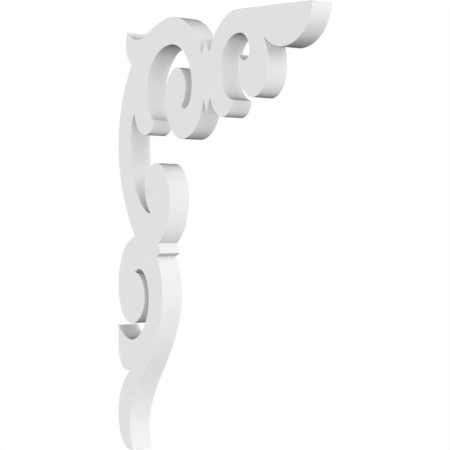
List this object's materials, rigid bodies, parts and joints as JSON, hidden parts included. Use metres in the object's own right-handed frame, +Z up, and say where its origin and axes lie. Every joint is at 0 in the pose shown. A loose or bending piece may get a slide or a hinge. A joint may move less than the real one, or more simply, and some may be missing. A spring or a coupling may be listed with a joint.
{
  "type": "scrolled pvc bracket",
  "caption": "Flat scroll-sawn bracket of white PVC with open scrolls and a pointed foot, fixed in the corner between a wall and the eaves.",
  "frame": {"origin": "middle of the flat top of the arm, on the board's middle plane, where it is fixed up against the eaves", "axes": "+X out from the wall towards the arm's end, +Y through the board's thickness, +Z up; the wall is the plane X = -0.4155"},
  "size_m": [0.508, 0.0508, 0.8255],
  "materials": {
    "pvc": "smooth satin white, sawn edges lightly sanded"
  },
  "bodies": {
    "root": {"bracket": "pvc"}
  },
  "joints": []
}
